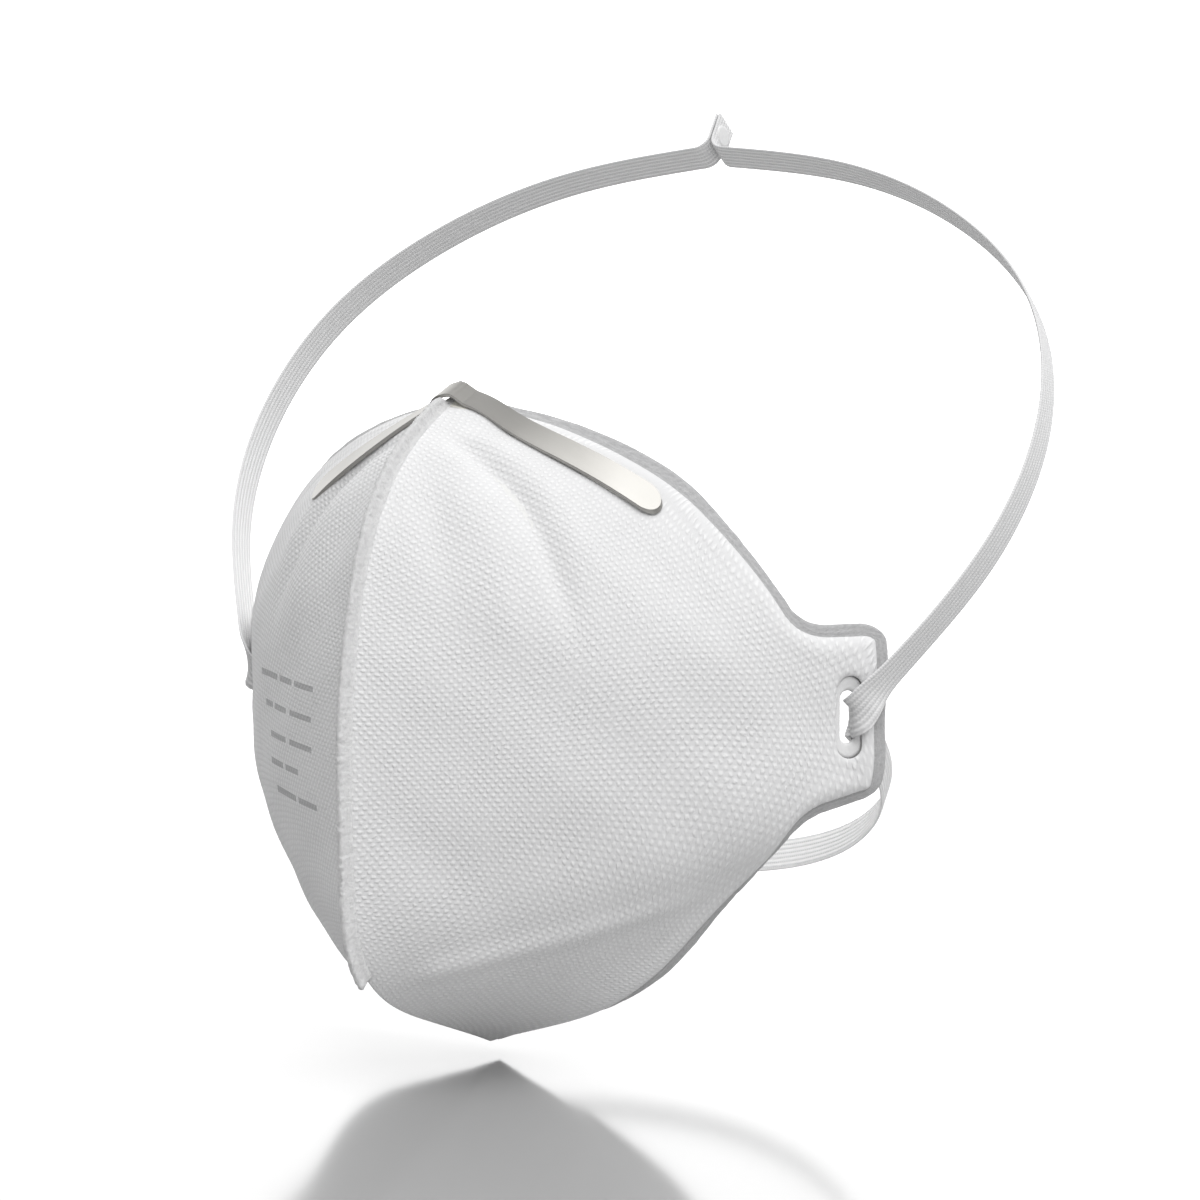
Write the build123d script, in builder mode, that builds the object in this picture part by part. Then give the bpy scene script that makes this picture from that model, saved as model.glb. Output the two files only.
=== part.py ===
"""Disposable dust mask: a folded filter cup, a nose clip and one flat elastic band.

Frame: X runs from ear slot to ear slot, +Y points to the wearer's face, +Z is up.
The origin is the midpoint between the two strap slots, where the straps swing.
"""

import os
from math import atan2, cos, radians, sin

from build123d import *

os.makedirs("parts", exist_ok=True)

# ---------------------------------------------------------------- driving sizes, mm
RIM_WELD_WIDTH = 3.0
FIN_HEIGHT = 2.5
FIN_THICKNESS = 1.0
CHIN_END_Z = -50.0

# depths below the outer face of the cup, outer and inner face of each layer
OUTER_COVER = (0.0, 0.45)
COARSE_FILTER = (0.50, 1.20)
FINE_FILTER = (1.25, 1.75)
INNER_LINING = (1.80, 2.25)
RIM_WELD = (1.0, 2.0)
SLOT_WELD = (0.6, 1.8)
CLIP_GLUE = (-0.13, -0.03)
NOSE_CLIP = (-0.97, -0.17)
CLIP_PASSAGE = (-4.0, 0.0)
NOSE_FOAM = (2.35, 6.0)

# every section of the cup lies in a plane through this line, parallel to X
FAN_Y, FAN_Z = 60.0, 0.0
CURVE_REACH = 0.36
EAR_LENGTH = 20.0
EAR_FLARE = 6.0

# front point y and z, half-angle at the front, rim point x and y, half-angle at the rim
CUP_SECTIONS = (
    (-14.5, 69.0, 77.0, 47.0, -8.5, 66.0),
    (-26.5, 64.4, 75.0, 47.0, -12.5, 64.0),
    (-40.0, 57.6, 71.0, 55.0, -10.5, 46.0),
    (-52.8, 46.2, 67.0, 63.5, -8.0, 38.0),
    (-63.0, 23.0, 64.0, 69.2, -7.0, 34.0),
    (-66.5, -4.0, 60.0, 69.5, -6.5, 34.0),
    (-66.0, -31.0, 55.0, 69.0, -6.5, 34.0),
    (-63.0, -46.0, 53.0, 65.5, -5.5, 34.0),
    (-55.0, -55.0, 58.0, 59.0, -5.5, 34.0),
    (-40.0, -62.5, 67.0, 50.5, -7.5, 38.0),
    (-26.0, -68.0, 73.0, 41.5, -9.7, 46.0),
    (-12.0, -74.0, 75.0, 34.0, 0.0, 58.0),
    (-4.0, -78.0, 75.0, 32.0, 8.0, 58.0),
)
CHIN_SECTION = 7

# side view of the whole cup, y and z of each corner with its rounding radius
FAR_FRONT = -90.0
CUP_OUTLINE = (
    (FAR_FRONT, 92.0, 1.0),
    (FAR_FRONT, -86.0, 1.0),
    (-12.6, -86.0, 1.0),
    (-14.0, -60.0, 24.0),
    (-4.6, -32.0, 22.0),
    (-5.8, -21.2, 5.0),
    (6.2, -16.8, 4.0),
    (6.8, 18.8, 4.0),
    (-6.6, 18.8, 5.0),
    (-14.6, 47.0, 45.0),
    (-23.5, 64.0, 14.0),
    (-46.0, 73.0, 1.0),
)

# strap slot in the ear tab, and the flat elastic band
SLOT_X = 74.9
SLOT_SIZE = (3.4, 10.6)
SLOT_WELD_SIZE = (5.4, 16.6)
EAR_ANGLE = 40.0
BAND_WIDTH = 8.0
BAND_THICKNESS = 0.8
TURN_GAP = 0.35
TURN_REAR = SLOT_SIZE[0] / 2 - 0.05
TURN_FRONT = TURN_REAR - BAND_THICKNESS
TURN_REACH = 9.6

# nose clip and foam, seen square to the bridge of the nose
BRIDGE_SLOPE = 31.5
CLIP_WIDTH = 6.0
CLIP_LINE = ((-28.5, -5.6), (-16.0, -2.4), (-8.0, 2.2), (0.0, 7.4), (14.0, 5.6), (26.0, 3.6), (41.5, 2.9))
FOAM_WIDTH = 9.0
FOAM_LINE = ((-35.0, 4.4), (0.0, 1.6), (35.0, 4.4))

# band runs in the plane of each loop, x and distance from the slot axis
HEAD_LOOP_ANGLE = 56.0
HEAD_LOOP_TOP = 143.0
HEAD_LOOP = (
    (82.3, 12.2),
    (94.8, 37.2),
    (99.7, 69.5),
    (91.0, 98.3),
    (70.0, 120.5),
    (38.0, 136.5),
    (4.0, HEAD_LOOP_TOP),
)
TAIL_LENGTH = 10.0
TAIL_OFFSET = 0.45
WELD_HEIGHT = 6.6
WELD_RADIUS = 2.5
NECK_LOOP_ANGLE = -40.0
NECK_LOOP = (
    (77.0, 11.2),
    (74.8, 24.0),
    (67.0, 43.5),
    (54.5, 57.0),
    (32.0, 67.5),
    (0.0, 71.0),
)


# ---------------------------------------------------------------- cup wall
def section_plane(front_y, front_z):
    """Plane through a front point and the fan line, with its y axis running rearward."""
    slope = atan2(FAN_Z - front_z, FAN_Y - front_y)
    normal = (0, -sin(slope), cos(slope))
    return Plane(origin=(0, front_y, front_z), x_dir=(1, 0, 0), z_dir=normal)


def wall_points(section, depth):
    """Control points of one section curve and the end of its tail, at a depth."""
    front_y, front_z, front_angle, rim_x, rim_y, rim_angle = section
    slope = atan2(FAN_Z - front_z, FAN_Y - front_y)
    rim_run = (rim_y - front_y) / cos(slope)
    start = atan2(sin(radians(front_angle)), cos(radians(front_angle)) / cos(slope))
    end = radians(rim_angle)
    tail = radians(rim_angle + EAR_FLARE)
    reach = CURVE_REACH * (rim_x**2 + rim_run**2) ** 0.5
    inward_end = Vector(-cos(end), sin(end)) * depth
    front = Vector(0, depth / sin(start))
    lead = Vector(reach * sin(start), reach * cos(start)) + Vector(-cos(start), sin(start)) * depth
    rim = Vector(rim_x, rim_run) + inward_end
    approach = rim - Vector(sin(end), cos(end)) * reach
    tip = rim + Vector(sin(tail), cos(tail)) * EAR_LENGTH
    return front, lead, approach, rim, tip


def cup_wall(depths):
    """Both halves of the cup between two depths, wider than the finished outline."""
    outer_depth, inner_depth = depths
    with BuildPart() as wall:
        for section in CUP_SECTIONS:
            with BuildSketch(section_plane(section[0], section[1])):
                with BuildLine():
                    outer = wall_points(section, outer_depth)
                    inner = wall_points(section, inner_depth)
                    Bezier(*outer[:4])
                    Line(outer[3], outer[4])
                    Line(outer[4], inner[4])
                    Line(inner[4], inner[3])
                    Bezier(*reversed(inner[:4]))
                    Line(inner[0], outer[0])
                make_face()
        loft()
        mirror(about=Plane.YZ)
    return wall.part


def outline_prism(inset):
    """Everything that a side view of the cup covers, less an inset from its edge."""
    corners = [(y, z) for y, z, radius in CUP_OUTLINE]
    radii = [radius for y, z, radius in CUP_OUTLINE]
    with BuildPart() as prism:
        with BuildSketch(Plane.YZ):
            with BuildLine():
                FilletPolyline(*corners, radius=radii, close=True)
            make_face()
            if inset > 0:
                offset(amount=-inset, kind=Kind.INTERSECTION, mode=Mode.REPLACE)
        extrude(amount=120, both=True)
    return prism.part


def front_line(depth):
    """Centre line of the front seam in the side view, shifted towards the face."""
    fronts = [Vector(row[0], row[1]) for row in CUP_SECTIONS[: CHIN_SECTION + 2]]
    shifted = []
    for index, point in enumerate(fronts):
        before = fronts[max(index - 1, 0)]
        after = fronts[min(index + 1, len(fronts) - 1)]
        along = (after - before).normalized()
        shifted.append(point + Vector(-along.Y, along.X) * depth)
    return shifted


def seam_fin():
    """Upright rib along the front, from the nose to the chin."""
    proud = front_line(-FIN_HEIGHT)
    buried = front_line(INNER_LINING[1])
    with BuildPart() as fin:
        with BuildSketch(Plane.YZ):
            with BuildLine():
                Spline(*proud)
                Line(proud[-1], buried[-1])
                Spline(*reversed(buried))
                Line(buried[0], proud[0])
            make_face()
            with Locations((FAR_FRONT, CHIN_END_Z)):
                Rectangle(180, 60, align=(Align.CENTER, Align.MAX), mode=Mode.SUBTRACT)
        extrude(amount=FIN_THICKNESS / 2, both=True)
    return fin.part


def ear_plane(side):
    """Plane of an ear tab at its slot, its x axis running out along the tab."""
    angle = radians(EAR_ANGLE)
    along = (side * sin(angle), cos(angle), 0)
    outward = (side * cos(angle), -sin(angle), 0)
    return Plane(origin=(side * SLOT_X, 0, 0), x_dir=along, z_dir=outward)


def slot_prism(size):
    """Rounded slot through both ear tabs."""
    with BuildPart() as prism:
        with BuildSketch(ear_plane(1)):
            SlotOverall(size[1], size[0], rotation=90)
        extrude(amount=6, both=True)
        mirror(about=Plane.YZ)
    return prism.part


slope = radians(BRIDGE_SLOPE)
bridge_plane = Plane(origin=(0, 0, 0), x_dir=(1, 0, 0), z_dir=(0, -sin(slope), cos(slope)))


def nose_strip(depths, points, width):
    """Round-ended strip across the nose, following the cup between two depths."""
    with BuildPart() as strip:
        add(cup_wall(depths))
        with BuildSketch(bridge_plane):
            with BuildLine():
                Spline(*points)
            trace(line_width=width)
            with Locations(points[0], points[-1]):
                Circle(width / 2)
        extrude(amount=110, mode=Mode.INTERSECT)
    return strip.part


whole_outline = outline_prism(0)
puffed_outline = outline_prism(RIM_WELD_WIDTH)
fin_rib = seam_fin()
slot_hole = slot_prism(SLOT_SIZE)
slot_oval = slot_prism(SLOT_WELD_SIZE)


def cup_layer(depths):
    """One sheet of the cup, inside the rim weld and round the slot welds."""
    with BuildPart() as layer:
        add(cup_wall(depths))
        add(puffed_outline, mode=Mode.INTERSECT)
        add(fin_rib, mode=Mode.SUBTRACT)
        add(slot_oval, mode=Mode.SUBTRACT)
    return layer.part


with BuildPart() as outer_cover:
    add(cup_layer(OUTER_COVER))

with BuildPart() as coarse_filter_layer:
    add(cup_layer(COARSE_FILTER))

with BuildPart() as fine_filter_layer:
    add(cup_layer(FINE_FILTER))

with BuildPart() as inner_lining:
    add(cup_layer(INNER_LINING))

# ---------------------------------------------------------------- welds
with BuildPart() as rim_weld:
    add(cup_wall(RIM_WELD))
    add(whole_outline, mode=Mode.INTERSECT)
    add(puffed_outline, mode=Mode.SUBTRACT)
    add(fin_rib, mode=Mode.SUBTRACT)

with BuildPart() as front_seam_weld:
    add(fin_rib)
    add(whole_outline, mode=Mode.INTERSECT)
    add(nose_strip(CLIP_PASSAGE, CLIP_LINE, CLIP_WIDTH + 0.8), mode=Mode.SUBTRACT)


def slot_weld(side):
    """Pressed oval round one strap slot."""
    with BuildPart() as weld:
        add(cup_wall(SLOT_WELD))
        add(slot_oval, mode=Mode.INTERSECT)
        add(slot_hole, mode=Mode.SUBTRACT)
        split(bisect_by=Plane.YZ, keep=Keep.TOP if side > 0 else Keep.BOTTOM)
    return weld.part


with BuildPart() as slot_weld_left:
    add(slot_weld(1))

with BuildPart() as slot_weld_right:
    add(slot_weld(-1))

# ---------------------------------------------------------------- nose clip, glue and foam
with BuildPart() as nose_clip:
    add(nose_strip(NOSE_CLIP, CLIP_LINE, CLIP_WIDTH))

with BuildPart() as nose_clip_adhesive:
    add(nose_strip(CLIP_GLUE, CLIP_LINE, CLIP_WIDTH - 1.0))

with BuildPart() as nose_foam:
    add(nose_strip(NOSE_FOAM, FOAM_LINE, FOAM_WIDTH))

# ---------------------------------------------------------------- elastic band
def band_turn(side):
    """Band folded round the rear edge of a slot: outer leg up, inner leg down."""
    plane = ear_plane(side)
    half = BAND_WIDTH / 2
    outer_face = TURN_GAP
    inner_face = -INNER_LINING[1] - TURN_GAP
    with BuildPart() as turn:
        with BuildSketch(plane.offset(outer_face)):
            Polygon(
                (TURN_FRONT, -half),
                (TURN_REACH, 4.0),
                (TURN_REACH, 13.0),
                (TURN_FRONT, half),
                align=None,
            )
        extrude(amount=BAND_THICKNESS)
        with BuildSketch(plane.offset(inner_face - BAND_THICKNESS)):
            Polygon(
                (TURN_FRONT, -half),
                (TURN_REACH, -half - 4.5),
                (TURN_REACH, half - 4.5),
                (TURN_FRONT, half),
                align=None,
            )
        extrude(amount=BAND_THICKNESS)
        with BuildSketch(plane.offset(inner_face)):
            with Locations(((TURN_FRONT + TURN_REAR) / 2, 0)):
                Rectangle(BAND_THICKNESS, BAND_WIDTH)
        extrude(amount=outer_face - inner_face)
    return turn.part


def loop_plane(angle):
    """Plane of a strap loop through the slot axis, its y axis running to the loop's top."""
    tilt = radians(angle)
    return Plane(origin=(0, 0, 0), x_dir=(1, 0, 0), z_dir=(0, -sin(tilt), cos(tilt)))


def weld_spot():
    """Round weld through the two standing band ends."""
    tilt = radians(HEAD_LOOP_ANGLE)
    up = Vector(0, cos(tilt), sin(tilt))
    plane = Plane(origin=up * (HEAD_LOOP_TOP + WELD_HEIGHT), x_dir=up, z_dir=(1, 0, 0))
    with BuildPart() as spot:
        with BuildSketch(plane):
            Circle(WELD_RADIUS)
        extrude(amount=BAND_THICKNESS + TAIL_OFFSET, both=True)
    return spot.part


def head_band(side):
    """One half of the head loop with its upstanding end."""
    run = [(side * x, reach) for x, reach in HEAD_LOOP]
    tail_x = side * TAIL_OFFSET
    bend_top = HEAD_LOOP_TOP + HEAD_LOOP[-1][0] - TAIL_OFFSET
    with BuildPart() as band:
        with BuildSketch(loop_plane(HEAD_LOOP_ANGLE)):
            with BuildLine():
                loop = Spline(*run)
                TangentArc(loop @ 1, (tail_x, bend_top), tangent=loop % 1)
                Line((tail_x, bend_top), (tail_x, HEAD_LOOP_TOP + TAIL_LENGTH))
            trace(line_width=BAND_THICKNESS)
        extrude(amount=BAND_WIDTH / 2, both=True)
        add(weld_spot(), mode=Mode.SUBTRACT)
    return band.part


with BuildPart() as band_turn_left:
    add(band_turn(1))

with BuildPart() as band_turn_right:
    add(band_turn(-1))

with BuildPart() as head_band_left:
    add(head_band(1))

with BuildPart() as head_band_right:
    add(head_band(-1))

with BuildPart() as strap_weld:
    add(weld_spot())

with BuildPart() as neck_band:
    with BuildSketch(loop_plane(NECK_LOOP_ANGLE)):
        with BuildLine():
            far_half = [(-x, reach) for x, reach in reversed(NECK_LOOP[:-1])]
            Spline(*NECK_LOOP, *far_half)
        trace(line_width=BAND_THICKNESS)
    extrude(amount=BAND_WIDTH / 2, both=True)

# ---------------------------------------------------------------- files
pieces = {
    "outer_cover": outer_cover,
    "coarse_filter_layer": coarse_filter_layer,
    "fine_filter_layer": fine_filter_layer,
    "inner_lining": inner_lining,
    "rim_weld": rim_weld,
    "front_seam_weld": front_seam_weld,
    "slot_weld_left": slot_weld_left,
    "slot_weld_right": slot_weld_right,
    "nose_clip": nose_clip,
    "nose_clip_adhesive": nose_clip_adhesive,
    "nose_foam": nose_foam,
    "band_turn_left": band_turn_left,
    "band_turn_right": band_turn_right,
    "head_band_left": head_band_left,
    "head_band_right": head_band_right,
    "strap_weld": strap_weld,
    "neck_band": neck_band,
}
for name, piece in pieces.items():
    piece.part.label = name
    export_step(piece.part, f"parts/{name}.step")
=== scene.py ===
"""Disposable dust mask: fabric cup, welded rim, front seam, nose clip and flat elastic band."""

import math

import bpy
import numpy as np
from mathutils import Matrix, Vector, kdtree
from mathutils.geometry import delaunay_2d_cdt


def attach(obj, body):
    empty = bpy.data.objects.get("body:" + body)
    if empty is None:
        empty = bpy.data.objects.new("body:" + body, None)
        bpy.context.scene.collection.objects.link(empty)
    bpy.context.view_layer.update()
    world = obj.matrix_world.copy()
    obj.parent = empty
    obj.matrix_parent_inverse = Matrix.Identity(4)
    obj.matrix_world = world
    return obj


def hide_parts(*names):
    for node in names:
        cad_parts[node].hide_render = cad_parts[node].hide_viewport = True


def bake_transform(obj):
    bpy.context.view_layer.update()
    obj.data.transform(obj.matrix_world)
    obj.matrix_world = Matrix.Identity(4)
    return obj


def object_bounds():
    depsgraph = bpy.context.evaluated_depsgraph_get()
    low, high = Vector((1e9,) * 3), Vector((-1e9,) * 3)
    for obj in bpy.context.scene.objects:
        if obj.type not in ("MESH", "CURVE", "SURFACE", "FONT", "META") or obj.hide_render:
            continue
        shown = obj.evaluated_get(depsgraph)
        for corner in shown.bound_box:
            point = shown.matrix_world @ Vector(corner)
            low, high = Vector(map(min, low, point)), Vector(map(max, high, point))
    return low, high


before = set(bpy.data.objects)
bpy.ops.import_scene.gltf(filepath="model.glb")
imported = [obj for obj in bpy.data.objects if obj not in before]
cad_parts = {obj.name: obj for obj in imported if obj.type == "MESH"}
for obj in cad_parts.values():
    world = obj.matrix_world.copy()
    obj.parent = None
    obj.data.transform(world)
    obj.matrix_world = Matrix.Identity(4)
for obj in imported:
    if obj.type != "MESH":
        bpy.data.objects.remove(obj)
cad_lo, cad_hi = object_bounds()
MM = 0.001
rng = np.random.default_rng(7)

# ---------------------------------------------------------------- cup surface, in millimetres
# front y, front z, half-angle at the front, rim x, rim y, half-angle at the rim, from the chin up
SECTIONS = np.array(
    [
        (-4.0, -78.0, 75.0, 32.0, 8.0, 58.0),
        (-12.0, -74.0, 75.0, 34.0, 0.0, 58.0),
        (-26.0, -68.0, 73.0, 41.5, -9.7, 46.0),
        (-40.0, -62.5, 67.0, 50.5, -7.5, 38.0),
        (-55.0, -55.0, 58.0, 59.0, -5.5, 34.0),
        (-63.0, -46.0, 53.0, 65.5, -5.5, 34.0),
        (-66.0, -31.0, 55.0, 69.0, -6.5, 34.0),
        (-66.5, -4.0, 60.0, 69.5, -6.5, 34.0),
        (-63.0, 23.0, 64.0, 69.2, -7.0, 34.0),
        (-52.8, 46.2, 67.0, 63.5, -8.0, 38.0),
        (-40.0, 57.6, 71.0, 55.0, -10.5, 46.0),
        (-26.5, 64.4, 75.0, 47.0, -12.5, 64.0),
        (-14.5, 69.0, 77.0, 47.0, -8.5, 66.0),
    ]
)
FAN_Y = 60.0
CURVE_REACH = 0.36
EAR_FLARE = math.radians(6.0)
# rear edge of the cup in the side view, y and z of each corner with its rounding radius
OUTLINE = (
    (-46.0, 73.0, 0.0),
    (-23.5, 64.0, 14.0),
    (-14.6, 47.0, 45.0),
    (-6.6, 18.8, 5.0),
    (6.8, 18.8, 4.0),
    (6.2, -16.8, 4.0),
    (-5.8, -21.2, 5.0),
    (-4.6, -32.0, 22.0),
    (-14.0, -60.0, 24.0),
    (-12.6, -86.0, 0.0),
)
RIM_WIDTH = 2.6
CHIN_Z = -50.0
SLOT_X = 74.9
EAR_ANGLE = math.radians(40.0)
# radius and half the straight length of the strap slot, and of the pressed oval round it
SLOT_HOLE = (1.7, 3.6)
SLOT_OVAL = (2.7, 5.6)
# ridge of the nose: the clip and the foam are seen square to it, as x and a distance up the ridge
NOSE_SLOPE = math.radians(31.5)
CLIP_LINE = ((-28.5, -6.6), (-16.0, -3.4), (-8.0, 1.4), (0.0, 8.0), (14.0, 5.6), (26.0, 3.6), (41.5, 2.9))
FOAM_LINE = ((-35.0, 4.4), (0.0, 1.6), (35.0, 4.4))
# the two halves of a sheet lie side by side in its flat pattern, this far apart
HALF_PITCH = 160.0


def spline(x, y):
    """Natural cubic through the rows of y at the rising values x."""
    n, h = len(x), np.diff(x)
    a, r = np.eye(n), np.zeros(y.shape)
    for i in range(1, n - 1):
        a[i, i - 1 : i + 2] = h[i - 1], 2 * (h[i - 1] + h[i]), h[i]
        r[i] = 6 * ((y[i + 1] - y[i]) / h[i] - (y[i] - y[i - 1]) / h[i - 1])
    m = np.linalg.solve(a, r)

    def at(q):
        q = np.atleast_1d(np.asarray(q, float))
        i = np.clip(np.searchsorted(x, q) - 1, 0, n - 2)
        k = h[i][:, None] ** 2 / 6
        t0 = ((x[i + 1] - q) / h[i])[:, None]
        t1 = 1 - t0
        return y[i] * t0 + y[i + 1] * t1 + ((t0**3 - t0) * m[i] + (t1**3 - t1) * m[i + 1]) * k

    return at


fan = np.arctan2(SECTIONS[:, 1], FAN_Y - SECTIONS[:, 0])
radii = np.hypot(FAN_Y - SECTIONS[:, 0], SECTIONS[:, 1])
stations = spline(fan, np.column_stack([radii, SECTIONS[:, 2:]]))


def section(y, z):
    """How far each point lies behind the front line, and the curve of its section."""
    angle = np.arctan2(z, FAN_Y - y)
    radius, front_angle, rim_x, rim_y, rim_angle = stations(angle).T
    cos = np.cos(angle)
    run = (rim_y - (FAN_Y - radius * cos)) / cos
    front_angle = np.radians(front_angle)
    start = np.arctan2(np.sin(front_angle), np.cos(front_angle) / cos)
    return radius - np.hypot(FAN_Y - y, z), start, rim_x, run, np.radians(rim_angle)


def half_width(y, z):
    """x of the cup's outer face over each point of the side view."""
    s, start, rim_x, run, end = section(y, z)
    reach = CURVE_REACH * np.hypot(rim_x, run)
    x1, s1 = reach * np.sin(start), reach * np.cos(start)
    x2, s2 = rim_x - reach * np.sin(end), run - reach * np.cos(end)
    lo, hi = np.zeros_like(s), np.ones_like(s)
    for _ in range(34):
        t = (lo + hi) / 2
        q = 3 * (1 - t) ** 2 * t * s1 + 3 * (1 - t) * t**2 * s2 + t**3 * run
        lo, hi = np.where(q < s, t, lo), np.where(q < s, hi, t)
    t = (lo + hi) / 2
    x = 3 * (1 - t) ** 2 * t * x1 + 3 * (1 - t) * t**2 * x2 + t**3 * rim_x
    x = np.where(s > run, rim_x + (s - run) * np.tan(end + EAR_FLARE), x)
    return np.where(s < 0, s * np.tan(start), x)


def outward(y, z):
    """Unit normals of the outer face of the +X half."""
    e = 0.05
    fy = (half_width(y + e, z) - half_width(y - e, z)) / (2 * e)
    fz = (half_width(y, z + e) - half_width(y, z - e)) / (2 * e)
    n = np.column_stack([np.ones_like(fy), -fy, -fz])
    return n / np.linalg.norm(n, axis=1)[:, None]


def wall(y, z, depth):
    """Points of the +X half at a depth below the outer face."""
    y, z = np.asarray(y, float), np.asarray(z, float)
    p = np.column_stack([half_width(y, z), y, z])
    return p - outward(y, z) * (np.zeros(len(y)) + depth)[:, None]


def smooth(t):
    """0 to 1 with level ends."""
    t = np.clip(t, 0, 1)
    return t * t * (3 - 2 * t)


def rounded(corners, step=0.2):
    """Evenly spaced points and outward normals along a polyline with rounded corners."""
    pts = [np.array(corners[0][:2])]
    for before, here, after in zip(corners, corners[1:], corners[2:]):
        p, r = np.array(here[:2]), here[2]
        a, b = np.array(before[:2]) - p, np.array(after[:2]) - p
        a, b = a / np.linalg.norm(a), b / np.linalg.norm(b)
        half = math.acos(np.clip(a @ b, -1, 1)) / 2
        mid = (a + b) / np.linalg.norm(a + b)
        centre = p + mid * r / math.sin(half)
        ta, tb = p + a * r / math.tan(half), p + b * r / math.tan(half)
        va, vb = (ta - centre) / r, (tb - centre) / r
        sweep = math.acos(np.clip(va @ vb, -1, 1))
        for k in np.linspace(0, 1, max(3, int(sweep * r / step) + 2)):
            v = (va * math.sin((1 - k) * sweep) + vb * math.sin(k * sweep)) / math.sin(sweep)
            pts.append(centre + v * r)
    pts.append(np.array(corners[-1][:2]))
    pts = np.array(pts)
    run = np.r_[0, np.cumsum(np.linalg.norm(np.diff(pts, axis=0), axis=1))]
    even = np.arange(0, run[-1], step)
    pts = np.column_stack([np.interp(even, run, pts[:, i]) for i in (0, 1)])
    t = np.gradient(pts, axis=0)
    for _ in range(3):
        t[1:-1] = (t[:-2] + 2 * t[1:-1] + t[2:]) / 4
    t /= np.linalg.norm(t, axis=1)[:, None]
    return pts, np.column_stack([-t[:, 1], t[:, 0]])


edge_points, edge_normals = rounded(OUTLINE)
# the tab and the sides turn away from the side view, so a width of 1 there shows as less
SIDE_SHOWS = 0.77
# above NOSE_FROM the flange widens towards the nose
NOSE_WIDENS, NOSE_FROM, NOSE_OVER = 0.3, 25.0, 22.0
edge_scale = np.hypot(SIDE_SHOWS * edge_normals[:, 0], edge_normals[:, 1])
edge_scale *= 1 + NOSE_WIDENS * smooth((edge_points[:, 1] - NOSE_FROM) / NOSE_OVER)


def front_shift(start, depth):
    """How far behind the front line the outer face lies over the ridge of a deeper layer."""
    return depth * np.cos(start) ** 2 / np.sin(start)


def edge_row(inset, depth, v):
    """Side-view points a distance inside the rear edge, from the nose ridge to the chin ridge."""
    p = edge_points - edge_normals * (inset * edge_scale)[:, None]
    s, start = section(p[:, 0], p[:, 1])[:2]
    s = s - front_shift(start, depth)
    inside = np.flatnonzero(s > 0)
    first, last = inside[0], inside[-1]
    i0 = first - s[first] / (s[first] - s[first - 1])
    i1 = last + s[last] / (s[last] - s[last + 1])
    at = i0 + np.asarray(v) * (i1 - i0)
    return np.column_stack([np.interp(at, np.arange(len(p)), p[:, k]) for k in (0, 1)])


def front_row(distance, angles):
    """Side-view points a distance behind the front line."""
    r = stations(angles)[:, 0] - distance
    return np.column_stack([FAN_Y - r * np.cos(angles), r * np.sin(angles)])


def edge_distance(p):
    """Distance of side-view points from the rear edge."""
    tree = kdtree.KDTree(len(edge_points))
    for i, q in enumerate(edge_points):
        tree.insert((q[0], q[1], 0), i)
    tree.balance()
    found = [tree.find((q[0], q[1], 0)) for q in p]
    return np.array([f[2] / edge_scale[f[1]] for f in found])


def oval_distance(y, z, core):
    """Distance outside the straight core of the slot, in the plane of the ear tab."""
    return np.hypot(y / math.cos(EAR_ANGLE), np.maximum(np.abs(z) - core, 0))


def oval_ring(radius, core, n=56):
    """Side-view points of a rounded slot shape on the ear tab."""
    arc = np.linspace(0, math.pi, n // 2)
    a = np.r_[np.cos(arc), -np.cos(arc)] * radius
    b = np.r_[np.sin(arc), -np.sin(arc)] * radius + np.r_[np.full(n // 2, core), np.full(n // 2, -core)]
    side = np.linspace(core, -core, 12)[1:-1]
    a = np.r_[a[: n // 2], np.full(10, -radius), a[n // 2 :], np.full(10, radius)]
    b = np.r_[b[: n // 2], side, b[n // 2 :], -side]
    return np.column_stack([a * math.cos(EAR_ANGLE), b])


def inside_loop(p, loop):
    """Even-odd test of points against a closed loop."""
    hit = np.zeros(len(p), bool)
    for (ya, za), (yb, zb) in zip(loop, np.roll(loop, -1, axis=0)):
        if za == zb:
            continue
        cross = ((za > p[:, 1]) != (zb > p[:, 1])) & (p[:, 0] < (yb - ya) * (p[:, 1] - za) / (zb - za) + ya)
        hit ^= cross
    return hit


def thin(points, others, gap):
    """Those points that keep a gap from the others."""
    tree = kdtree.KDTree(len(others))
    for i, q in enumerate(others):
        tree.insert((q[0], q[1], 0), i)
    tree.balance()
    return np.array([q for q in points if tree.find((q[0], q[1], 0))[2] > gap])


# rows of points that follow the rim, the seam and the slot, as distances from each
EDGE_STEPS = (0.22, 0.5, 0.9, 1.4, 2.0, 2.8)
FRONT_STEPS = (0.25, 0.55, 0.95, 1.5, 2.3)
OVAL_STEPS = (0.2, 0.45, 0.8, 1.25)
# how far from each weld the puffed fabric has risen to its full height
RIM_ROLL, OVAL_ROLL, SEAM_ROLL = 2.1, 1.5, 1.6
EDGE_POINTS, FRONT_POINTS = 330, 190
GRID_Y, GRID_Z = (-68, 8), (-76, 68)
SEAM_DIP, RIM_SWELL = 0.35, 0.3


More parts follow.
